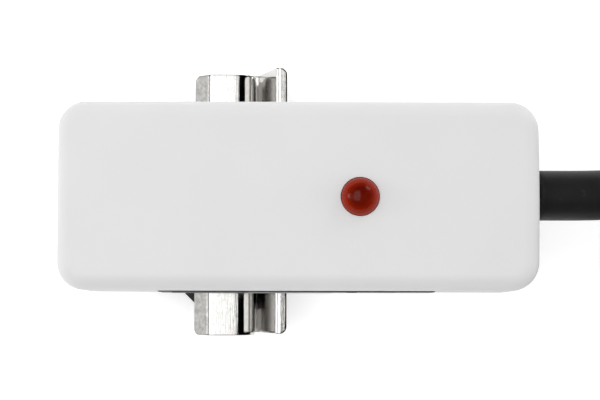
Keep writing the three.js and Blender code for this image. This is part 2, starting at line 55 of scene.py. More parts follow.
# ------------------------------------------------------------------ sizes, in millimetres
# The same driving dimensions as the part's source. The walls lean in by DRAUGHT at the top, the cable end swells
# by BOW, and the shell stops SEAM_GAP above the seam.
HOUSING = dict(length=37.6, width=14.95, base=7.4, seam=8.6, top=17.0, corner=2.3, edge=1.3, wall=1.2)
DRAUGHT = 0.13
BOW = 0.10
SEAM_GAP = 0.05
POST = dict(radius=1.5, low=9.6, into_roof=0.3, thread=0.83, thread_top=14.7)
EXIT_HOLE = [(2.1, 0), (2.1, 1.5), (2.14, 1.58), (2.24, 1.67), (2.4, 1.85)]
EXIT_DEEP = 1.67
BOSS = dict(x=-9.35, size=(8.1, 12.0, 1.0), profile=[(0.15, 3.95), (0, 4.1), (0, 7.6)])
RIM = dict(gap=0.2, wall=1.6, low=8.5, high=9.4)
LAMP = dict(x=4.8, y=-0.1, radius=1.5, shoulder=16.7, flange=1.9, base=13.0, flange_top=14.0, hole=1.504)
LABEL = dict(centre=-0.1, length=21.7, high=5.0, z=12.4, corner=0.45, film=[(0, 0.01), (0, 0.07), (0.02, 0.09)])
# The label's plain bars: where each one's centre lies and how long it is.
BARS = [(-6.0, 1.5, 7.6), (3.4, 1.5, 9.0), (-5.0, 0.0, 10.0), (-3.6, -1.5, 12.8)]
BAR = dict(high=0.7, corner=0.25, low=0.05, top=0.12)

CABLE_R = 2.0
CABLE_Y = 0.28
CABLE_Z = 12.2
CORE_R = 0.5
STRANDS = dict(radius=0.33, start=0.3, end=4.8, rows=16)
COIL = dict(x=51.0, y=-12.8)
# The tie's loop is measured from the coil's axis outwards and from the floor up.
TIE = dict(inner=15.65, outer=24.35, low=0.5, high=8.35, thick=0.5, half=1.7, edge=0.15, bearing=-50.0)

# The clip's metal is one thickness and one width. A tongue of each piece lies under the housing.
SHEET = dict(thick=0.4, half=11.1, edge=0.07, beside=0.12, corner=0.6)
PLATE_Y = -0.04
PLATE = dict(lip=(-8.74, 2.46), fold=(-7.51, 3.70), roll_x=-5.1, roll=1.23, ends=(2.30, 2.2, 2.15, 2.12))
LIP_FOLD = -7.55
LEAF_Y = 0.16
LEAF = [(-5.35, 1.35), (-3.42, 1.35), (-1.66, 6.70), (-0.92, 6.70)]
TONGUE_EDGE = 0.06
PAD = dict(end=-4.6, low=0, high=1.1, edge=0.22, hole=1.9)
SADDLE = dict(end=-5.4, low=1.6, high=2.1, edge=0.12)
# One side of the foot's plan, from the open end round to the closed one, and which way each corner draws in.
FOOT_PLAN = np.array([(0, 9.0), (-8.3, 9.0), (-10.2, 7.1), (-12.6, 7.1), (-13.6, 6.1)])
FOOT_INWARD = np.array([(-1, -1), (0.4, -1), (0.4, -1), (0.4, -1), (1, -0.4)])

COVER_SCREW = dict(low=7.45, head=1.5, high=0.95, shank=0.8, tip=14.2)
CLIP_SCREW = dict(low=0.35, head=1.7, high=0.75, shank=0.9, tip=7.8, hole=1.05)
COVER_SCREWS = [(sx * 15.7, sy * 4.5) for sx in (-1, 1) for sy in (-1, 1)]
CLIP_SCREWS = [(-11.0, -3.6), (-11.0, 3.6)]

CORNER_STEPS = 14
SIDE_STEPS = 12
LEAST_CORNER = 0.25
FINE_SIDES = 96


# ------------------------------------------------------------------ mesh helpers
def unit(vector):
    """The vector divided by its own length."""
    return vector / np.linalg.norm(vector)


def directions(line):
    """The unit tangent at each point of a line."""
    tangent = np.gradient(line, axis=0)
    return tangent / np.linalg.norm(tangent, axis=1)[:, None]


def distances(line):
    """How far along a line each of its points lies."""
    return np.r_[0, np.cumsum(np.linalg.norm(np.diff(line, axis=0), axis=1))]


def piece(name, verts, faces, body="root", slot=None, smooth=True, uvs=None):
    """Makes a mesh object from millimetre points and faces, rides it on a body and gives it its slot."""
    mesh = bpy.data.meshes.new(name)
    mesh.from_pydata((np.asarray(verts) * MM).tolist(), [], faces)
    if uvs is not None:
        layer = mesh.uv_layers.new(name="along")
        loop_verts = np.empty(len(mesh.loops), dtype=np.int32)
        mesh.loops.foreach_get("vertex_index", loop_verts)
        layer.data.foreach_set("uv", np.asarray(uvs, dtype=np.float32)[loop_verts].ravel())
    mesh.validate()
    obj = bpy.data.objects.new(name, mesh)
    bpy.context.scene.collection.objects.link(obj)
    if smooth:
        mesh.polygons.foreach_set("use_smooth", [True] * len(mesh.polygons))
    if slot:
        mesh.materials.append(FINISHES[slot])
    if body:
        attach(obj, body)
    return obj


def closed_faces(rows, cols):
    """Quads between the rows of a grid whose columns close on themselves, and one flat face over each end."""
    r, c = np.meshgrid(np.arange(rows - 1), np.arange(cols), indexing="ij")
    n = (c + 1) % cols
    quads = np.stack([r * cols + c, r * cols + n, (r + 1) * cols + n, (r + 1) * cols + c], -1).reshape(-1, 4)
    last = (rows - 1) * cols
    return [*quads.tolist(), list(range(cols))[::-1], list(range(last, last + cols))]


def face_outwards(obj, merge=False):
    """Points every face of a closed mesh outwards, after merging points that lie on one another."""
    bm = bmesh.new()
    bm.from_mesh(obj.data)
    if merge:
        bmesh.ops.remove_doubles(bm, verts=bm.verts, dist=1e-8)
    bmesh.ops.recalc_face_normals(bm, faces=bm.faces)
    bm.to_mesh(obj.data)
    bm.free()


def crisp(obj, degrees):
    """Shades a piece smooth, apart from edges sharper than the angle."""
    obj.data.polygons.foreach_set("use_smooth", [True] * len(obj.data.polygons))
    obj.data.set_sharp_from_angle(angle=math.radians(degrees))


def smooth_line(points, step):
    """A Catmull-Rom line through the points, one sample every step millimetres."""
    p = np.asarray(points, float)
    p = np.vstack([2 * p[0] - p[1], p, 2 * p[-1] - p[-2]])
    out = []
    for a, b, c, d in zip(p, p[1:], p[2:], p[3:]):
        n = max(2, int(np.ceil(np.linalg.norm(c - b) / step)))
        t = np.linspace(0, 1, n, endpoint=False)[:, None]
        square, cube = (2 * a - 5 * b + 4 * c - d) * t**2, (3 * b - a - 3 * c + d) * t**3
        out.append(0.5 * (2 * b + (c - a) * t + square + cube))
    return np.vstack([*out, p[-2][None]])


def tube_grid(line, radius, sides):
    """A circle of the radius carried along the line on frames that turn as little as they can."""
    tangent = directions(line)
    side = np.cross(tangent[0], [0, 0, 1.0])
    frames = []
    for t in tangent:
        side = unit(side - t * side.dot(t))
        frames.append((side, np.cross(t, side)))
    across, up = np.array(frames).transpose(1, 0, 2)[:, :, None, :]
    a = np.linspace(0, 2 * math.pi, sides, endpoint=False)[None, :, None]
    return line[:, None, :] + radius * (np.cos(a) * across + np.sin(a) * up)


def tube(name, line, radius, sides, slot):
    """A round bar along a line, with a rounded rim and flat end at each end; u runs round, v along in metres."""
    rim = 0.12 * radius
    grid = tube_grid(line, radius, sides)
    start = line[0] + (grid[0] - line[0]) * (1 - rim / radius)
    end = line[-1] + (grid[-1] - line[-1]) * (1 - rim / radius)
    grid[0] += unit(line[1] - line[0]) * rim
    grid[-1] -= unit(line[-1] - line[-2]) * rim
    rows = np.concatenate([start[None], grid, end[None]])
    far = distances(line)
    v = np.r_[far[0], far, far[-1]]
    uvs = np.stack([np.tile(np.arange(sides) / sides, len(rows)), np.repeat(v * MM, sides)], -1)
    faces = [face[::-1] for face in closed_faces(len(rows), sides)]
    obj = piece(name, rows.reshape(-1, 3), faces, "root", slot, uvs=uvs)
    face_outwards(obj)
    return obj


# ------------------------------------------------------------------ shapes for the moulded and pressed pieces
# A profile is a list of (inset, height) pairs, or of (radius, height) pairs for a turned shape.
def plan_loop(length, width, corner, z, bow):
    """Rounded rectangle at a height: four quarter circles joined by straights; bow swells the cable end."""
    quarter_turn = np.linspace(0, math.pi / 2, CORNER_STEPS)
    arcs = []
    for k, (sx, sy) in enumerate([(1, 1), (-1, 1), (-1, -1), (1, -1)]):
        a = quarter_turn + k * math.pi / 2
        arcs.append(np.stack([sx * (length / 2 - corner) + corner * np.cos(a),
                              sy * (width / 2 - corner) + corner * np.sin(a)], -1))
    between = np.linspace(0, 1, SIDE_STEPS)[1:-1, None]
    rows = []
    for arc, following in zip(arcs, arcs[1:] + arcs[:1]):
        rows += [arc, arc[-1] + (following[0] - arc[-1]) * between]
    loop = np.vstack(rows)
    loop[:, 0] += bow * np.clip(loop[:, 0] / (length / 2), 0, 1) ** 8 * (1 - (2 * loop[:, 1] / width) ** 2)
    return np.column_stack([loop, np.full(len(loop), z)])


def stacked(name, size, profile, centre=(0.0, 0.0), slot=None, body="root", bow=0.0):
    """A solid whose outline at each height is a rounded rectangle drawn in by the profile's inset."""
    length, width, corner = size
    rings = np.array([plan_loop(length - 2 * inset, width - 2 * inset, max(corner - inset, LEAST_CORNER), z, bow)
                      for inset, z in profile])
    verts = rings.reshape(-1, 3) + np.array([*centre, 0.0])
    return piece(name, verts, closed_faces(*rings.shape[:2]), body, slot)


def turned(name, profile, centre, sides, slot=None, body="root"):
    """A profile of radius and height turned about an upright axis; a zero radius closes on the axis."""
    a = np.linspace(0, 2 * math.pi, sides, endpoint=False)
    radius, height = np.array(profile, float).T[:, :, None]
    rings = np.stack(np.broadcast_arrays(radius * np.cos(a), radius * np.sin(a), height), -1)
    verts = rings.reshape(-1, 3) + np.array([*centre, 0.0])
    obj = piece(name, verts, closed_faces(len(profile), sides), body, slot)
    face_outwards(obj, merge=True)
    return obj


def straight(low, high, edge=0.0):
    """The profile of an upright wall, drawn in by edge at both its ends."""
    if not edge:
        return [(0, low), (0, high)]
    return [(edge, low), (0, low + edge), (0, high - edge), (edge, high)]


def quarter(inset, z, radius, steps, up=True):
    """Inset and height round a quarter circle: from a side wall over to a top face, or up from a bottom one."""
    a = np.linspace(0, math.pi / 2, steps)
    if up:
        return [(inset + radius * (1 - math.cos(t)), z + radius * math.sin(t)) for t in a]
    return [(inset + radius * (1 - math.sin(t)), z + radius * (1 - math.cos(t))) for t in a]


# ------------------------------------------------------------------ tools that cut a piece or join it
def tool_plate(size, profile, centre=(0.0, 0.0)):
    """A stacked shape."""
    return stacked("tool", size, profile, centre, body=None)


def rods(radius, low, high, places, sides=64):
    """Upright round rods, one at each place."""
    return [turned("tool", [(radius, low), (radius, high)], place, sides, body=None) for place in places]


def block(x0, x1, y0, y1, z0, z1):
    """A plain box between two values along each axis."""
    x, y, z = (x0 + x1) / 2, (y0 + y1) / 2, (z0 + z1) / 2
    mesh = bpy.data.meshes.new("tool")
    bm = bmesh.new()
    bmesh.ops.create_cube(bm, size=1.0)
    bm.transform(Matrix.Translation(Vector((x, y, z)) * MM) @ Matrix.Diagonal(
        Vector(((x1 - x0) * MM, (y1 - y0) * MM, (z1 - z0) * MM, 1.0))))
    bm.to_mesh(mesh)
    bm.free()
    obj = bpy.data.objects.new("tool", mesh)
    bpy.context.scene.collection.objects.link(obj)
    return obj


def combine(obj, operation, tools):
    """Cuts the tools from a piece, or joins them to it, and leaves the result in its mesh."""
    for cutter in tools:
        step = obj.modifiers.new("step", "BOOLEAN")
        step.operation = operation
        step.solver = "EXACT"
        step.object = cutter
        bpy.context.view_layer.update()
        made = bpy.data.meshes.new_from_object(obj.evaluated_get(bpy.context.evaluated_depsgraph_get()))
        obj.modifiers.remove(step)
        old = obj.data
        obj.data = made
        made.name = obj.name
        bpy.data.meshes.remove(old)
    for cutter in tools:
        data = cutter.data
        bpy.data.objects.remove(cutter)
        bpy.data.meshes.remove(data)


# ------------------------------------------------------------------ surface effects shared by the materials
def effect(name, inputs, outputs):
    """An empty node group with named sockets; inputs are (name, type, default)."""
    group = bpy.data.node_groups.new(name, "ShaderNodeTree")
    for label, kind, default in inputs:
        socket = group.interface.new_socket(name=label, in_out="INPUT", socket_type=kind)
        if default is not None:
            socket.default_value = default
    for label, kind in outputs:
        group.interface.new_socket(name=label, in_out="OUTPUT", socket_type=kind)
    ins = group.nodes.new("NodeGroupInput")
    outs = group.nodes.new("NodeGroupOutput")
    return group, ins, outs


def node(tree, kind, **values):
    """A node with its settings, and its sockets by name under the key inputs."""
    made = tree.nodes.new(kind)
    inputs = values.pop("inputs", {})
    for key, value in values.items():
        setattr(made, key, value)
    for key, value in inputs.items():
        made.inputs[key].default_value = value
    return made


FLOAT, VECTOR, COLOUR = "NodeSocketFloat", "NodeSocketVector", "NodeSocketColor"
# The Mix node's sockets for what lies under, what is laid over it and the result, for each kind of value.
MIX_SOCKETS = {"FLOAT": (2, 3, 0), "RGBA": (6, 7, 2)}
DUST_COLOUR = (0.55, 0.54, 0.52, 1)


def moulded_grain():
    """Height of a spark-eroded mould texture: two sizes of noise over small rounded cells."""
    group, ins, outs = effect("moulded grain", [("Vector", VECTOR, None), ("Scale", FLOAT, 5000.0)],
                              [("Height", FLOAT), ("Mask", FLOAT)])
    link = group.links.new
    fine = node(group, "ShaderNodeTexNoise", inputs={"Detail": 3.0, "Roughness": 0.6})
    cells = node(group, "ShaderNodeTexVoronoi", feature="SMOOTH_F1")
    cell_scale = node(group, "ShaderNodeMath", operation="MULTIPLY")
    cell_scale.inputs[1].default_value = 0.55
    mixed = node(group, "ShaderNodeMath", operation="MULTIPLY_ADD")
    mixed.inputs[1].default_value = 0.6
    for texture in (fine, cells):
        link(ins.outputs["Vector"], texture.inputs["Vector"])
    link(ins.outputs["Scale"], fine.inputs["Scale"])
    link(ins.outputs["Scale"], cell_scale.inputs[0])
    link(cell_scale.outputs[0], cells.inputs["Scale"])
    link(cells.outputs["Distance"], mixed.inputs[0])
    link(fine.outputs["Fac"], mixed.inputs[2])
    link(mixed.outputs[0], outs.inputs["Height"])
    link(fine.outputs["Fac"], outs.inputs["Mask"])
    return group


def drifting_tone():
    """A colour that drifts slowly towards a second one, with finer mottling over it."""
    group, ins, outs = effect(
        "drifting tone",
        [("Vector", VECTOR, None), ("Scale", FLOAT, 120.0), ("Main", COLOUR, None), ("Other", COLOUR, None)],
        [("Colour", COLOUR)])
    link = group.links.new
    under, over, result = MIX_SOCKETS["RGBA"]
    slow = node(group, "ShaderNodeTexNoise", inputs={"Detail": 5.0, "Roughness": 0.55})
    reach = node(group, "ShaderNodeMapRange", inputs={"From Min": 0.32, "From Max": 0.68})
    mix = node(group, "ShaderNodeMix", data_type="RGBA")
    link(ins.outputs["Vector"], slow.inputs["Vector"])
    link(ins.outputs["Scale"], slow.inputs["Scale"])
    link(slow.outputs["Fac"], reach.inputs["Value"])
    link(reach.outputs["Result"], mix.inputs["Factor"])
    link(ins.outputs["Main"], mix.inputs[under])
    link(ins.outputs["Other"], mix.inputs[over])
    link(mix.outputs[result], outs.inputs["Colour"])
    return group


def rolling_lines():
    """Fine parallel lines that run along one axis, as rolling leaves in sheet; Run holds the line's stretch."""
    group, ins, outs = effect("rolling lines", [("Vector", VECTOR, None), ("Run", VECTOR, (9000.0, 260.0, 9000.0))],
                              [("Height", FLOAT), ("Mask", FLOAT)])
    link = group.links.new
    stretch = node(group, "ShaderNodeVectorMath", operation="MULTIPLY")
    lines = node(group, "ShaderNodeTexNoise", inputs={"Scale": 1.0, "Detail": 4.0, "Roughness": 0.65})
    link(ins.outputs["Vector"], stretch.inputs[0])
    link(ins.outputs["Run"], stretch.inputs[1])
    link(stretch.outputs[0], lines.inputs["Vector"])
    link(lines.outputs["Fac"], outs.inputs["Height"])
    link(lines.outputs["Fac"], outs.inputs["Mask"])
    return group


def settled_dust():
    """A mask of sparse small specks, as dust and handling leave."""
    group, ins, outs = effect("settled dust", [("Vector", VECTOR, None), ("Scale", FLOAT, 900.0),
                                               ("Amount", FLOAT, 0.3)], [("Mask", FLOAT)])
    link = group.links.new
    specks = node(group, "ShaderNodeTexNoise", inputs={"Detail": 6.0, "Roughness": 0.75})
    cut = node(group, "ShaderNodeMapRange", inputs={"From Min": 0.62, "From Max": 0.74})
    scaled = node(group, "ShaderNodeMath", operation="MULTIPLY")
    link(ins.outputs["Vector"], specks.inputs["Vector"])
    link(ins.outputs["Scale"], specks.inputs["Scale"])
    link(specks.outputs["Fac"], cut.inputs["Value"])
    link(cut.outputs["Result"], scaled.inputs[0])
    link(ins.outputs["Amount"], scaled.inputs[1])
    link(scaled.outputs[0], outs.inputs["Mask"])
    return group


GRAIN, TONE, LINES, DUST = moulded_grain(), drifting_tone(), rolling_lines(), settled_dust()


def lay_over(look, mask, value, feed="Base Color", kind="RGBA"):
    """Where the mask is white, puts a value in place of what feeds the shader's socket."""
    tree = look.node_tree
    socket = tree.nodes["Principled BSDF"].inputs[feed]
    under, over, result = MIX_SOCKETS[kind]
    mix = node(tree, "ShaderNodeMix", data_type=kind)
    mix.inputs[over].default_value = value
    tree.links.new(mask, mix.inputs["Factor"])
    tree.links.new(socket.links[0].from_socket, mix.inputs[under])
    tree.links.new(mix.outputs[result], socket)


def finish(
    name, main, other, rough, tone_mm=6.0, grain_mm=0.2, bump=0.1, depth_mm=0.004, dust=0.0, metal=0.0, run=None,
    wrap=None, coat=0.0, specular=0.5,
):
    """A surface: drifting colour, roughness between two values, and relief from grain or from rolling lines."""
    look = bpy.data.materials.new(name)
    look.use_nodes = True
    tree = look.node_tree
    bsdf = tree.nodes["Principled BSDF"]
    link = tree.links.new
    place = node(tree, "ShaderNodeTexCoord")
    vector = place.outputs["Object"]
    if wrap:
        follow = node(tree, "ShaderNodeMapping", inputs={"Scale": wrap})
        link(place.outputs["UV"], follow.inputs["Vector"])
        vector = follow.outputs["Vector"]
    tone = node(tree, "ShaderNodeGroup", node_tree=TONE,
                inputs={"Scale": 1000 / tone_mm, "Main": (*main, 1), "Other": (*other, 1)})
    relief = node(tree, "ShaderNodeGroup", node_tree=LINES if run else GRAIN,
                  inputs={"Run": run} if run else {"Scale": 1000 / grain_mm})
    link(vector, tone.inputs["Vector"])
    link(vector, relief.inputs["Vector"])
    level = node(tree, "ShaderNodeMapRange", inputs={"From Min": 0.25, "From Max": 0.75,
                                                     "To Min": rough[0], "To Max": rough[1]})
    link(relief.outputs["Mask"], level.inputs["Value"])
    raise_by = node(tree, "ShaderNodeBump", inputs={"Strength": bump, "Distance": depth_mm * MM})
    link(relief.outputs["Height"], raise_by.inputs["Height"])
    link(raise_by.outputs["Normal"], bsdf.inputs["Normal"])
    link(tone.outputs["Colour"], bsdf.inputs["Base Color"])
    link(level.outputs["Result"], bsdf.inputs["Roughness"])
    if dust:
        specks = node(tree, "ShaderNodeGroup", node_tree=DUST, inputs={"Amount": dust})
        link(vector, specks.inputs["Vector"])
        lay_over(look, specks.outputs["Mask"], DUST_COLOUR)
    bsdf.inputs["Metallic"].default_value = metal
    bsdf.inputs["Specular IOR Level"].default_value = specular
    bsdf.inputs["Coat Weight"].default_value = coat
    return look


def lens_finish():
    """Deep red cast epoxy: dark over the lead frame in its middle, and a painted highlight towards the rim, a
    brighter red where the rim gathers light.
    """
    look = finish("deep red epoxy", (0.085, 0.0025, 0.0003), (0.13, 0.006, 0.0006), (0.14, 0.22), tone_mm=0.9,
                  grain_mm=0.4, bump=0.12, depth_mm=0.003, specular=0.12)
    tree = look.node_tree
    link = tree.links.new
    place = node(tree, "ShaderNodeTexCoord")
    offset = node(tree, "ShaderNodeVectorMath", operation="SUBTRACT")
    offset.inputs[1].default_value = (LAMP["x"] * MM, LAMP["y"] * MM, 0)
    flat = node(tree, "ShaderNodeVectorMath", operation="MULTIPLY")
    flat.inputs[1].default_value = (1, 1, 0)
    far = node(tree, "ShaderNodeVectorMath", operation="LENGTH")
    reach = node(tree, "ShaderNodeMapRange", interpolation_type="SMOOTHSTEP",
                 inputs={"From Min": 0.55 * MM, "From Max": LAMP["radius"] * MM})
    link(place.outputs["Object"], offset.inputs[0])
    link(offset.outputs[0], flat.inputs[0])
    link(flat.outputs[0], far.inputs[0])
    link(far.outputs["Value"], reach.inputs["Value"])
    # Painted highlight: a brighter red laid on towards the rim, where the rim gathers light.
    lay_over(look, reach.outputs["Result"], (0.28, 0.014, 0.001, 1))
    bsdf = tree.nodes["Principled BSDF"]
    bsdf.inputs["Transmission Weight"].default_value = 0.05
    bsdf.inputs["IOR"].default_value = 1.5
    return look


def film_finish():
    """A dark printed film with rows of plain pale bars laid out by height and length."""
    look = finish("dark printed film", (0.012, 0.012, 0.013), (0.02, 0.02, 0.021), (0.35, 0.5), tone_mm=2,
                  grain_mm=0.1, bump=0.08, depth_mm=0.002, dust=0.12)
    tree = look.node_tree
    place = node(tree, "ShaderNodeTexCoord")
    turn = node(tree, "ShaderNodeMapping", inputs={"Rotation": (math.pi / 2, 0, 0)})
    rows = node(tree, "ShaderNodeTexBrick", inputs={
        "Color1": (0, 0, 0, 1), "Color2": (1, 1, 1, 1), "Mortar": (0, 0, 0, 1), "Scale": 1000.0,
        "Mortar Size": 0.42, "Bias": 0.0, "Brick Width": 8.5, "Row Height": 1.5,
    })
    tree.links.new(place.outputs["Object"], turn.inputs["Vector"])
    tree.links.new(turn.outputs["Vector"], rows.inputs["Vector"])
    lay_over(look, rows.outputs["Color"], (0.42, 0.42, 0.42, 1))
    return look


def steel_finish():
    """Bright rolled sheet, dulled (rougher) on the hook plate's lip where forming has stretched it; the darker
    mottled grey laid over the lip is a painted reflection of dim grey surroundings.
    """
    look = finish("bright nickel sheet", (0.62, 0.61, 0.595), (0.54, 0.53, 0.515), (0.05, 0.14), tone_mm=0.4,
                  bump=0.45, depth_mm=0.009, metal=1.0, run=(10000.0, 420.0, 10000.0))
    tree = look.node_tree
    link = tree.links.new
    place = node(tree, "ShaderNodeTexCoord")
    axes = node(tree, "ShaderNodeSeparateXYZ")
    lip = node(tree, "ShaderNodeMapRange", inputs={"From Min": LIP_FOLD * MM, "From Max": (LIP_FOLD - 0.12) * MM})
    mottle = node(tree, "ShaderNodeTexNoise", inputs={"Scale": 2600.0, "Detail": 4.0, "Roughness": 0.6})
    spread = node(tree, "ShaderNodeMapRange", inputs={"From Min": 0.35, "From Max": 0.65, "To Min": 0.35})
    painted_reflection = node(tree, "ShaderNodeMath", operation="MULTIPLY")
    link(place.outputs["Object"], axes.inputs[0])
    link(place.outputs["Object"], mottle.inputs["Vector"])
    link(axes.outputs["X"], lip.inputs["Value"])
    link(mottle.outputs["Fac"], spread.inputs["Value"])
    link(lip.outputs["Result"], painted_reflection.inputs[0])
    link(spread.outputs["Result"], painted_reflection.inputs[1])
    # Painted reflection: a darker grey mottled over the lip, where the tilted lip mirrors dim grey surroundings.
    lay_over(look, painted_reflection.outputs[0], (0.30, 0.295, 0.285, 1))
    lay_over(look, lip.outputs["Result"], 0.34, feed="Roughness", kind="FLOAT")
    return look


FINISHES = {
    "white_shell": finish("matte white ABS", (0.62, 0.62, 0.62), (0.605, 0.605, 0.605), (0.5, 0.62), tone_mm=9,
                          grain_mm=0.18, bump=0.55, depth_mm=0.010, dust=0.04),
    "label_black": film_finish(),
    "zinc_steel": finish("zinc plated steel", (0.58, 0.60, 0.62), (0.50, 0.50, 0.48), (0.25, 0.45), tone_mm=0.8,
                         grain_mm=0.12, bump=0.2, depth_mm=0.004, metal=1.0),
    "red_lens": lens_finish(),
    "tinned_lead": finish("tinned copper strands", (0.66, 0.66, 0.64), (0.5, 0.46, 0.4), (0.2, 0.4), tone_mm=0.6,
                          bump=0.5, depth_mm=0.02, metal=1.0, run=(9000.0, 9000.0, 300.0)),
    "board_green": finish("green glass epoxy", (0.02, 0.13, 0.05), (0.035, 0.17, 0.07), (0.3, 0.5), tone_mm=1.5,
                          grain_mm=0.15, bump=0.2, depth_mm=0.004, coat=0.3),
    "chip_black": finish("moulded epoxy package", (0.022, 0.022, 0.024), (0.035, 0.035, 0.036), (0.45, 0.65),
                         tone_mm=0.8, grain_mm=0.08, bump=0.25, depth_mm=0.004),
    "amber_chip": finish("amber moulded case", (0.55, 0.33, 0.07), (0.42, 0.24, 0.05), (0.35, 0.5), tone_mm=1,
                         grain_mm=0.08, bump=0.2, depth_mm=0.004),
    "ferrite": finish("sintered ferrite", (0.045, 0.045, 0.05), (0.08, 0.078, 0.08), (0.5, 0.7), tone_mm=0.7,
                      grain_mm=0.1, bump=0.5, depth_mm=0.01),
    "copper": finish("enamelled copper wire", (0.66, 0.27, 0.12), (0.5, 0.18, 0.07), (0.18, 0.35), tone_mm=0.5,
                     bump=0.7, depth_mm=0.03, metal=1.0, run=(300.0, 300.0, 7000.0), coat=0.4),
    "pad_rubber": finish("moulded rubber", (0.016, 0.016, 0.016), (0.028, 0.028, 0.027), (0.7, 0.85), tone_mm=2.5,
                         grain_mm=0.18, bump=0.35, depth_mm=0.008, dust=0.2, specular=0.35),
    "black_nylon": finish("satin black nylon", (0.008, 0.008, 0.009), (0.014, 0.014, 0.014), (0.38, 0.5),
                          tone_mm=2, grain_mm=0.2, bump=0.2, depth_mm=0.005, specular=0.35),
    "bright_steel": steel_finish(),
    "brass": finish("turned brass", (0.60, 0.43, 0.16), (0.48, 0.33, 0.11), (0.2, 0.35), tone_mm=0.8,
                    bump=0.4, depth_mm=0.01, metal=1.0, run=(250.0, 250.0, 6000.0)),
    "cable_black": finish("matte PVC jacket", (0.007, 0.007, 0.007), (0.011, 0.011, 0.011), (0.42, 0.55), tone_mm=3,
                          grain_mm=0.16, bump=0.3, depth_mm=0.008, dust=0.025, wrap=(0.0126, 1.0, 1.0),
                          specular=0.22),
    "tie_nylon": finish("black tie nylon", (0.012, 0.012, 0.012), (0.02, 0.02, 0.02), (0.3, 0.45), tone_mm=2,
                        grain_mm=0.2, bump=0.2, depth_mm=0.005),
    "wire_brown": finish("brown core insulation", (0.13, 0.045, 0.018), (0.17, 0.06, 0.025), (0.3, 0.42),
                         tone_mm=1.5, grain_mm=0.12, bump=0.2, depth_mm=0.004),
    "wire_black": finish("black core insulation", (0.014, 0.014, 0.014), (0.024, 0.024, 0.024), (0.3, 0.42),
                         tone_mm=1.5, grain_mm=0.12, bump=0.2, depth_mm=0.004),
    "wire_blue": finish("blue core insulation", (0.02, 0.09, 0.36), (0.03, 0.13, 0.44), (0.3, 0.42), tone_mm=1.5,
                        grain_mm=0.12, bump=0.2, depth_mm=0.004),
}


def dress():
    """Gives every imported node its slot's finish; new pieces take theirs as they are made."""
    for row in frame["record"]["subparts"]:
        obj = frame["nodes"][row["node"]]
        for material_slot in obj.material_slots:
            material_slot.material = FINISHES[row["material_slot"]]


dress()


# ------------------------------------------------------------------ camera
CAMERA = dict(above=125.0, lens=97.5, sensor=36.0, lean=3.2, roll=0.15, aim=(0.16, -0.384, HOUSING["top"]))


def make_camera():
    """Looks down on the housing's top, leaning a little towards -Y."""
    data = bpy.data.cameras.new("view")
    data.lens = CAMERA["lens"]
    data.sensor_width = CAMERA["sensor"]
    data.clip_start = 0.005
    data.clip_end = 5.0
    cam = bpy.data.objects.new("view", data)
    bpy.context.scene.collection.objects.link(cam)
    lean = math.radians(CAMERA["lean"])
    back = Vector((0.0, -math.sin(lean), math.cos(lean)))
    cam.location = Vector(CAMERA["aim"]) * MM + back * CAMERA["above"] * MM
    up = Vector((0.0, math.cos(lean), math.sin(lean)))
    right = up.cross(back)
    turn = Matrix((right, up, back)).transposed().to_4x4()
    cam.rotation_euler = (turn @ Matrix.Rotation(math.radians(CAMERA["roll"]), 4, "Z")).to_euler()
    bpy.context.scene.camera = cam


make_camera()


# ------------------------------------------------------------------ cable
LEAD_ROUTE = [
    (18.95, CABLE_Y, CABLE_Z), (20.7, CABLE_Y, CABLE_Z), (22.5, 0.29, 12.2), (24.5, 0.35, 12.15),
    (27.0, 0.52, 11.8), (30.0, 0.98, 11.15), (33.0, 1.67, 10.65), (36.0, 2.5, 10.45), (38.5, 3.2, 10.4),
]
# Round the coil, a place is a bearing in degrees, a radius and a height. The winding runs clockwise, and its
# rows are where it changes column or layer.
WINDING = [
    (113, 19.3, 9.95), (90, 18.2, 8.0), (68, 18.0, 6.0), (-200, 18.0, 6.0), (-260, 22.0, 6.0),
    (-490, 22.0, 6.0), (-540, 22.0, 2.0), (-800, 22.0, 2.0), (-850, 18.0, 2.0), (-1110, 18.0, 2.0),
    (-1202, 13.9, 2.0),
]
WINDING_STEP = 12.0
TAIL_ROUTE = [(226, 13.7, 2.05), (218, 13.7, 2.05), (210, 13.7, 2.05), (202, 13.7, 2.05)]
CORE_ROUTES = {
    "brown": [(200, 14.8, 2.1), (186, 14.8, 1.3), (168, 14.7, 0.6), (145, 14.2, 0.6), (112, 13.2, 0.6)],
    "black": [(200, 13.6, 2.1), (186, 13.5, 1.3), (168, 13.2, 0.6), (142, 12.4, 0.6), (106, 10.9, 0.6)],
    "blue": [(200, 12.4, 2.1), (186, 12.2, 1.3), (168, 11.6, 0.6), (138, 10.2, 0.6), (98, 8.4, 0.6)],
}


def round_coil(places):
    """Points from bearings, radii and heights about the coil's own axis."""
    bearing, radius, z = np.array(places, float).T
    a = np.radians(bearing)
    return np.stack([COIL["x"] + radius * np.cos(a), COIL["y"] + radius * np.sin(a), z], -1)


def coil_points():
    """Points at even steps along the winding, easing between its changes of radius and height."""
    keys = np.array(WINDING, float)
    bearing = np.arange(keys[0, 0], keys[-1, 0], -WINDING_STEP)
    i = np.clip(np.searchsorted(-keys[:, 0], -bearing, side="right") - 1, 0, len(keys) - 2)
    t = (keys[i, 0] - bearing) / (keys[i, 0] - keys[i + 1, 0])
    ease = (t * t * (3 - 2 * t))[:, None]
    return round_coil(np.column_stack([bearing, keys[i, 1:] + (keys[i + 1, 1:] - keys[i, 1:]) * ease]))


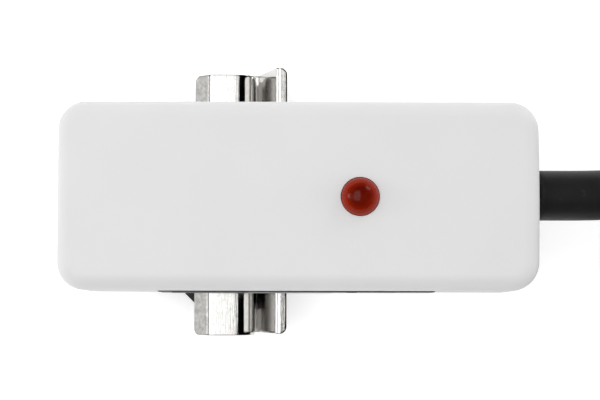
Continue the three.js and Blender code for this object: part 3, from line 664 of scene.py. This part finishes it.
def make_tie():
    """The tie: a rounded strap round the bundle on one side of the coil, its head and its clipped end."""
    wide, high = TIE["outer"] - TIE["inner"], TIE["high"] - TIE["low"]
    middle = ((TIE["inner"] + TIE["outer"]) / 2, -(TIE["low"] + TIE["high"]) / 2)
    band = straight(-TIE["half"], TIE["half"], TIE["edge"])
    around = 2 * TIE["thick"]
    strap = stacked("tie_strap", (wide + around, high + around, 1.4), band, middle, "tie_nylon")
    combine(strap, "DIFFERENCE", [tool_plate((wide, high, 1.0), straight(-3, 3), middle)])
    side = TIE["outer"] + TIE["thick"]
    head = tool_plate((2.5, 3.8, 0.5), straight(-2.3, 2.3, 0.3), (side + 1.15, -4.3))
    stub = tool_plate((1.9, 0.9, 0.2), straight(-1.5, 1.5), (side + 1.0, -6.0))
    combine(strap, "UNION", [head, stub])
    # The strap was drawn lying down, with the coil's radius along X and its height along -Y.
    turn = Matrix.Rotation(math.radians(TIE["bearing"]), 4, "Z") @ Matrix.Rotation(-math.pi / 2, 4, "X")
    strap.data.transform(Matrix.Translation(Vector((COIL["x"], COIL["y"], 0)) * MM) @ turn)
    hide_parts("coil_tie")
    crisp(strap, 35)
    return strap


def make_cable():
    """The cable along its lead, its winding and its tail; three cores leave it, each with a bared end."""
    route = np.vstack([LEAD_ROUTE, coil_points(), round_coil(TAIL_ROUTE)])
    line = smooth_line(route, 0.7)
    cable = tube("sensor_cable", line, CABLE_R, 32, "cable_black")
    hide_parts("cable_lead", "cable_coil", "cable_tail")
    ends = []
    for colour, places in CORE_ROUTES.items():
        points = smooth_line(round_coil(places), 0.4)
        core = tube(f"flying_{colour}", points, CORE_R, 20, f"wire_{colour}")
        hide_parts(f"core_{colour}")
        reach = np.linspace(STRANDS["start"], STRANDS["end"], STRANDS["rows"])[:, None]
        bare = points[-1] + reach * unit(points[-1] - points[-2])
        strands = tube(f"tinned_{colour}", bare, STRANDS["radius"], 20, "tinned_lead")
        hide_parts(f"tinned_end_{colour}")
        ends += [core, strands]
    ends.append(make_tie())


make_cable()

# ------------------------------------------------------------------ housing
H = HOUSING
OUTSIDE = (H["length"], H["width"], H["corner"])
INSIDE = (H["length"] - 2 * H["wall"], H["width"] - 2 * H["wall"], H["corner"] - H["wall"])


def make_shell():
    """The top shell: a drafted wall, a quarter-round top edge, hollow inside with four screw posts."""
    low = H["seam"] + SEAM_GAP
    side = [(0.12, low), (0.04, low + 0.05), (0.005, low + 0.14), (DRAUGHT * 0.3, 10.7), (DRAUGHT * 0.7, 13.5)]
    over = quarter(DRAUGHT, H["top"] - H["edge"], H["edge"], 16)
    profile = [*side, *over, (DRAUGHT + H["edge"] + 0.25, H["top"])]
    shell = stacked("housing_shell", OUTSIDE, profile, slot="white_shell", bow=BOW)
    ceiling = H["top"] - H["wall"]
    combine(shell, "DIFFERENCE", [tool_plate(INSIDE, [(0, low - 2), (0, ceiling - 0.4), (0.4, ceiling)])])
    combine(shell, "UNION", rods(POST["radius"], POST["low"], ceiling + POST["into_roof"], COVER_SCREWS))
    cuts = rods(POST["thread"], 5, POST["thread_top"], COVER_SCREWS, 24)
    hole, top = LAMP["hole"], H["top"]
    mouth = [(hole, 14), (hole, top - 0.02), (1.52, top), (1.6, top + 0.2)]
    cuts.append(turned("tool", mouth, (LAMP["x"], LAMP["y"]), FINE_SIDES, body=None))
    cable_hole = turned("tool", EXIT_HOLE, (0, 0), FINE_SIDES, body=None)
    face = H["length"] / 2 + BOW - DRAUGHT / 2
    lay = Matrix.Translation(Vector((face - EXIT_DEEP, CABLE_Y, CABLE_Z)) * MM)
    cable_hole.data.transform(lay @ Matrix.Rotation(math.pi / 2, 4, "Y"))
    combine(shell, "DIFFERENCE", [*cuts, cable_hole])
    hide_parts("top_shell")
    crisp(shell, 30)


def make_cover():
    """The base cover: a flat floor with a rounded lower edge, its boss, screw seats and inner rim."""
    seam, low, high = H["seam"], RIM["low"], RIM["high"]
    floor = [*quarter(0.0, H["base"], 0.45, 8, up=False), (0.0, seam - 0.12), (0.04, seam - 0.04), (0.12, seam)]
    cover = stacked("housing_cover", OUTSIDE, floor, slot="white_shell", bow=BOW)
    boss = tool_plate(BOSS["size"], BOSS["profile"], (BOSS["x"], 0))
    length, width = INSIDE[0] - RIM["gap"], INSIDE[1] - RIM["gap"]
    rim = tool_plate((length, width, 1.0), [(0, low), (0, high - 0.1), (0.1, high)])
    well = tool_plate((length - RIM["wall"], width - RIM["wall"], 0.4), straight(seam, 10))
    combine(cover, "UNION", [boss, rim])
    combine(cover, "DIFFERENCE", [well])
    board_posts = [(x, y) for x in (-5.0, 9.5) for y in (-4.4, 4.4)]
    combine(cover, "UNION", [
        *rods(2.3, low, 9.6, CLIP_SCREWS), *rods(1.0, low, 10.35, board_posts, 32),
        *rods(1.2, low, 11.85, [(-11.2, 0)], 32), *rods(1.5, low, high, COVER_SCREWS),
    ])
    combine(cover, "DIFFERENCE", [
        *rods(1.6, 5, 8.45, COVER_SCREWS), *rods(0.9, 5, 12, COVER_SCREWS, 24), *rods(1.52, 3, 8.05, CLIP_SCREWS),
    ])
    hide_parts("base_cover")
    crisp(cover, 30)


def make_label():
    """A dark film stood on the drafted -Y wall, with plain pale bars raised on it and no lettering."""
    size = (LABEL["length"], LABEL["high"], LABEL["corner"])
    label = stacked("blank_label", size, LABEL["film"], slot="label_black")
    bar = straight(BAR["low"], BAR["top"])
    combine(label, "UNION", [tool_plate((long, BAR["high"], BAR["corner"]), bar, (x, y)) for x, y, long in BARS])
    lean = math.atan(DRAUGHT / (H["top"] - H["edge"] - H["seam"]))
    wall = -H["width"] / 2 + (LABEL["z"] - H["seam"]) * math.tan(lean)
    place = Matrix.Translation(Vector((LABEL["centre"], wall, LABEL["z"])) * MM)
    label.data.transform(place @ Matrix.Rotation(math.pi / 2 - lean, 4, "X"))
    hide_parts("side_label")
    crisp(label, 40)


# ------------------------------------------------------------------ lamp
def make_lamp():
    """The lens: a flanged rod with a half-round dome."""
    radius, shoulder = LAMP["radius"], LAMP["shoulder"]
    flange, low, top = LAMP["flange"], LAMP["base"], LAMP["flange_top"]
    foot = [(0, low), (flange - 0.05, low), (flange, low + 0.05), (flange, top - 0.05), (flange - 0.05, top),
            (radius, top)]
    dome = [(radius * math.cos(t), shoulder + radius * math.sin(t)) for t in np.linspace(0, math.pi / 2, 24)]
    dome[-1] = (0.0, shoulder + radius)
    lens = turned("lamp_dome", [*foot, *dome], (LAMP["x"], LAMP["y"]), FINE_SIDES, "red_lens")
    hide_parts("lamp_lens")
    crisp(lens, 40)


# ------------------------------------------------------------------ pressed sheet
def sheet_section():
    """Signs across and out, a unit quarter circle per corner, and how far in from the edge each row lies.

    One more row on the flat face, close to each rounded edge, keeps the face's shading flat.
    """
    arc = np.linspace(0, math.pi / 2, 5)
    corners = []
    for k, (across, out) in enumerate([(1, 1), (-1, 1), (-1, -1), (1, -1)]):
        t = arc + k * math.pi / 2
        corner = np.column_stack([np.full(5, across), np.full(5, out), np.cos(t), np.sin(t), np.zeros(5)])
        ends_flat = k % 2 == 0
        beside = corner[-1 if ends_flat else 0].copy()
        beside[-1] = SHEET["beside"]
        corners += [corner, beside] if ends_flat else [beside, corner]
    return np.vstack(corners).T


def sheet_sweep(name, line, y, corners, body="root"):
    """A strip of sheet: a rounded flat section carried along a middle line in X and Z, its plan rounded at the
    ends by the two corner radii and its thickness rounded over the last of its length."""
    line = np.asarray(line, float)
    tangent = directions(line)
    normal = np.stack([-tangent[:, 1], tangent[:, 0]], -1)
    from_start = distances(line)
    from_end = from_start[-1] - from_start
    half = np.full(len(line), SHEET["half"])
    for gap, corner in zip((from_start, from_end), corners):
        if corner:
            half -= corner * (1 - np.sqrt(1 - np.clip((corner - gap) / corner, 0, 1) ** 2))
    edge = SHEET["edge"]
    near_end = np.clip((edge - np.minimum(from_start, from_end)) / edge, 0, 1)
    thin = SHEET["thick"] / 2 - edge * (1 - np.sqrt(1 - near_end**2)) * 0.98
    side, face, round_y, round_n, inset = sheet_section()
    across = side * (half[:, None] - edge - inset) + edge * round_y
    out = face * (thin[:, None] - edge) + edge * round_n
    verts = np.stack([line[:, 0, None] + normal[:, 0, None] * out, y + across,
                      line[:, 1, None] + normal[:, 1, None] * out], -1)
    obj = piece(name, verts.reshape(-1, 3), closed_faces(*out.shape), body, "bright_steel")
    face_outwards(obj)
    return obj


def bend(points, radii, step):
    """A polyline with each corner rounded to its own radius, sampled evenly, with close samples at each end."""
    pts = np.asarray(points, float)
    out = [pts[0]]
    t = np.linspace(0, 1, 14)[:, None]
    for a, b, c, radius in zip(pts, pts[1:], pts[2:], radii):
        u, v = unit(a - b), unit(c - b)
        half_angle = math.acos(np.clip(u.dot(v), -1, 1)) / 2
        most = 0.48 * min(np.linalg.norm(a - b), np.linalg.norm(c - b))
        reach = min(radius / math.tan(half_angle), most)
        start, end = b + u * reach, b + v * reach
        out += list((1 - t) ** 2 * start + 2 * t * (1 - t) * b + t**2 * end)
    line = np.array([*out, pts[-1]])
    far = distances(line)
    keep = np.r_[True, np.diff(far) > 1e-6]
    line, far = line[keep], far[keep]
    close = np.array([0, 0.02, 0.045, 0.07, 0.15, 0.3])
    marks = np.r_[close, np.arange(0.4, far[-1] - 0.35, step), far[-1] - close[::-1]]
    return np.stack([np.interp(marks, far, line[:, 0]), np.interp(marks, far, line[:, 1])], -1)


def tongue(x, length, z):
    """The part of a sheet that lies under the housing, centred at x and z."""
    low, high = z - SHEET["thick"] / 2, z + SHEET["thick"] / 2
    return tool_plate((length, 12.0, 1.0), straight(low, high, TONGUE_EDGE), (x, 0))


def make_hook_plate():
    """The fixed plate: a sloping lip, a flat, and a rolled shoulder, with a tongue under the housing."""
    roll, x, z = PLATE["roll"], PLATE["roll_x"], PLATE["fold"][1]
    t = np.linspace(0, math.pi / 2, 20)
    shoulder = np.stack([x + roll * np.sin(t), z - roll + roll * np.cos(t)], -1)
    flat = bend([PLATE["lip"], PLATE["fold"], (x, z)], [0.5], 0.06)[:-6]
    line = np.vstack([flat, shoulder, [(x + roll, end) for end in PLATE["ends"]]])
    corner = SHEET["corner"]
    plate = sheet_sweep("hook_sheet", line, PLATE_Y, (corner, corner))
    combine(plate, "DIFFERENCE", [block(-9.5, -7.25, -6.4, 6.4, 0, 6)])
    combine(plate, "UNION", [tongue(-9.95, 6.9, z)])
    combine(plate, "DIFFERENCE", rods(CLIP_SCREW["hole"], 3, 5, CLIP_SCREWS))
    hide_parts("hook_plate")
    crisp(plate, 28)


def make_leaf():
    """The spring strip: a flat foot, a tight root bend, the steep wall and an outward lip, in one piece."""
    leaf = sheet_sweep("spring_leaf", bend(LEAF, [0.45, 0.16], 0.08), LEAF_Y, (0, SHEET["corner"]), body=None)
    combine(leaf, "UNION", [tongue(-9.025, 8.75, LEAF[0][1])])
    combine(leaf, "DIFFERENCE", rods(CLIP_SCREW["hole"], 0, 3, CLIP_SCREWS))
    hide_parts("leaf_foot", "latch_leaf")
    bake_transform(leaf)
    crisp(leaf, 28)


# ------------------------------------------------------------------ moulded foot
def flared(name, size, slot):
    """A plate of the foot's plan, wider at 45 degrees under the clip's ends, its edges rounded low and high."""
    low, high, edge = size["low"], size["high"], size["edge"]
    profile = quarter(0, low, edge, 5, up=False) + quarter(0, high - edge, edge, 5)
    inset, z = np.array(profile, float).T[:, :, None, None]
    plan = FOOT_PLAN.copy()
    plan[0, 0] = size["end"]
    upper = plan + inset * FOOT_INWARD
    outline = np.concatenate([upper, upper[:, ::-1] * (1, -1)], axis=1)
    rings = np.concatenate([outline, np.broadcast_to(z, (*outline.shape[:2], 1))], axis=-1)
    obj = piece(name, rings.reshape(-1, 3), closed_faces(*rings.shape[:2]), "root", slot)
    face_outwards(obj)
    return obj


def make_foot():
    """The rubber pad, and the nylon saddle over it with its two raised lands under the clip."""
    pad = flared("rubber_pad", PAD, "pad_rubber")
    combine(pad, "DIFFERENCE", rods(PAD["hole"], -1, 2, CLIP_SCREWS))
    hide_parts("foot_pad")
    crisp(pad, 35)
    saddle = flared("nylon_saddle", SADDLE, "black_nylon")
    land = [(0, 1.7), (0, 3.3), (0.05, 3.4), (0.12, 3.45)]
    combine(saddle, "UNION", [
        tool_plate((8.2, 12.0, 0.4), land, (-9.5, 0)), tool_plate((1.89, 17.2, 0.4), land, (-6.345, 0)),
    ])
    combine(saddle, "DIFFERENCE", rods(CLIP_SCREW["hole"], 0, 5, CLIP_SCREWS))
    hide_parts("saddle_block")
    crisp(saddle, 35)


# ------------------------------------------------------------------ screws
def make_screw(name, node, x, y, size):
    """A pan head with a domed edge and a cross recess, and a thread of rings down its shank."""
    low, head, shank, tip = size["low"], size["head"], size["shank"], size["tip"]
    neck = low + size["high"]
    pan = [(0, low), (head * 0.72, low), (head * 0.9, low + 0.1), (head, low + 0.3), (head, neck),
           (shank * 0.86, neck)]
    turns = np.arange(neck + 0.3, tip - 0.5, 0.2)
    thread = [(shank * (0.84 if i % 2 else 1.0), z) for i, z in enumerate(turns)]
    screw = turned(name, [*pan, *thread, (shank * 0.8, tip - 0.4), (0, tip)], (x, y), 40, "zinc_steel")
    arm, slot = head * 0.55, 0.17
    depth = low + size["high"] * 0.5
    combine(screw, "DIFFERENCE", [
        block(x - arm, x + arm, y - slot, y + slot, low - 1, depth),
        block(x - slot, x + slot, y - arm, y + arm, low - 1, depth),
    ])
    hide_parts(node)
    crisp(screw, 35)


def make_screws():
    """Four screws in the cover, and two through the clip."""
    for i, (x, y) in enumerate(COVER_SCREWS, 1):
        make_screw(f"housing_screw_{i}", f"cover_screw_{i}", x, y, COVER_SCREW)
    for name, (x, y) in zip(("front", "back"), CLIP_SCREWS):
        make_screw(f"foot_screw_{name}", f"clip_screw_{name}", x, y, CLIP_SCREW)


for make in (make_shell, make_cover, make_label, make_lamp, make_hook_plate, make_leaf, make_foot, make_screws):
    make()


# ------------------------------------------------------------------ stage and light
WORLD_LIGHT = 0.52
FLOOR_GLOW = 0.30
FLOOR_HALF, FLOOR_Z = 900, -0.02
# Name, place, size, watts, and whether a shiny surface mirrors it. The broad ones fill without being mirrored.
LIGHTS = [
    ("fill", (0.0, 0.08, 0.60), (1.8, 1.8), 2.1, False),
    ("left", (-0.72, 0.04, 0.22), (0.24, 0.24), 0.8, True),
    ("right", (0.72, 0.0, 0.20), (0.60, 0.25), 1.3, False),
    ("back", (0.0, 0.72, 0.20), (0.60, 0.25), 0.25, False),
    ("far corner", (0.52, 0.58, 0.27), (0.32, 0.26), 1.1, True),
    ("card", (-0.171, 0.03, 0.42), (0.318, 0.46), 1.02, True),
    ("side card", (-0.52, 0.0, 0.34), (0.30, 0.50), 0.26, True),
    ("small card", (-0.0055, 0.06, 0.42), (0.013, 0.03), 0.0016, True),
]
# These face straight down; every other light faces the middle of the part.
LEVEL = ("card", "small card")


def make_stage():
    """A white light table, broad fill from above and low on three sides, and bright cards over the clip."""
    corners = [(sx * FLOOR_HALF, sy * FLOOR_HALF, FLOOR_Z) for sx, sy in ((-1, -1), (1, -1), (1, 1), (-1, 1))]
    floor = piece("floor", corners, [(0, 1, 2, 3)], body=None, smooth=False)
    look = bpy.data.materials.new("studio floor")
    look.use_nodes = True
    bsdf = look.node_tree.nodes["Principled BSDF"]
    for socket, value in {"Base Color": (0.98, 0.98, 0.98, 1), "Roughness": 1.0, "Specular IOR Level": 0.0,
                          "Emission Color": (1, 1, 1, 1), "Emission Strength": FLOOR_GLOW}.items():
        bsdf.inputs[socket].default_value = value
    floor.data.materials.append(look)
    world = bpy.data.worlds.new("studio")
    bpy.context.scene.world = world
    world.use_nodes = True
    world.node_tree.nodes["Background"].inputs["Color"].default_value = (1, 1, 1, 1)
    world.node_tree.nodes["Background"].inputs["Strength"].default_value = WORLD_LIGHT
    world.cycles_visibility.glossy = False
    for name, place, size, watts, mirrored in LIGHTS:
        data = bpy.data.lights.new(name, "AREA")
        data.shape = "RECTANGLE"
        data.size, data.size_y = size
        data.energy = watts
        light = bpy.data.objects.new(name, data)
        bpy.context.scene.collection.objects.link(light)
        light.location = place
        if name not in LEVEL:
            light.rotation_euler = (-Vector(place)).to_track_quat("-Z", "Y").to_euler()
        light.visible_glossy = mirrored
    bpy.context.scene.view_settings.view_transform = "Standard"


make_stage()
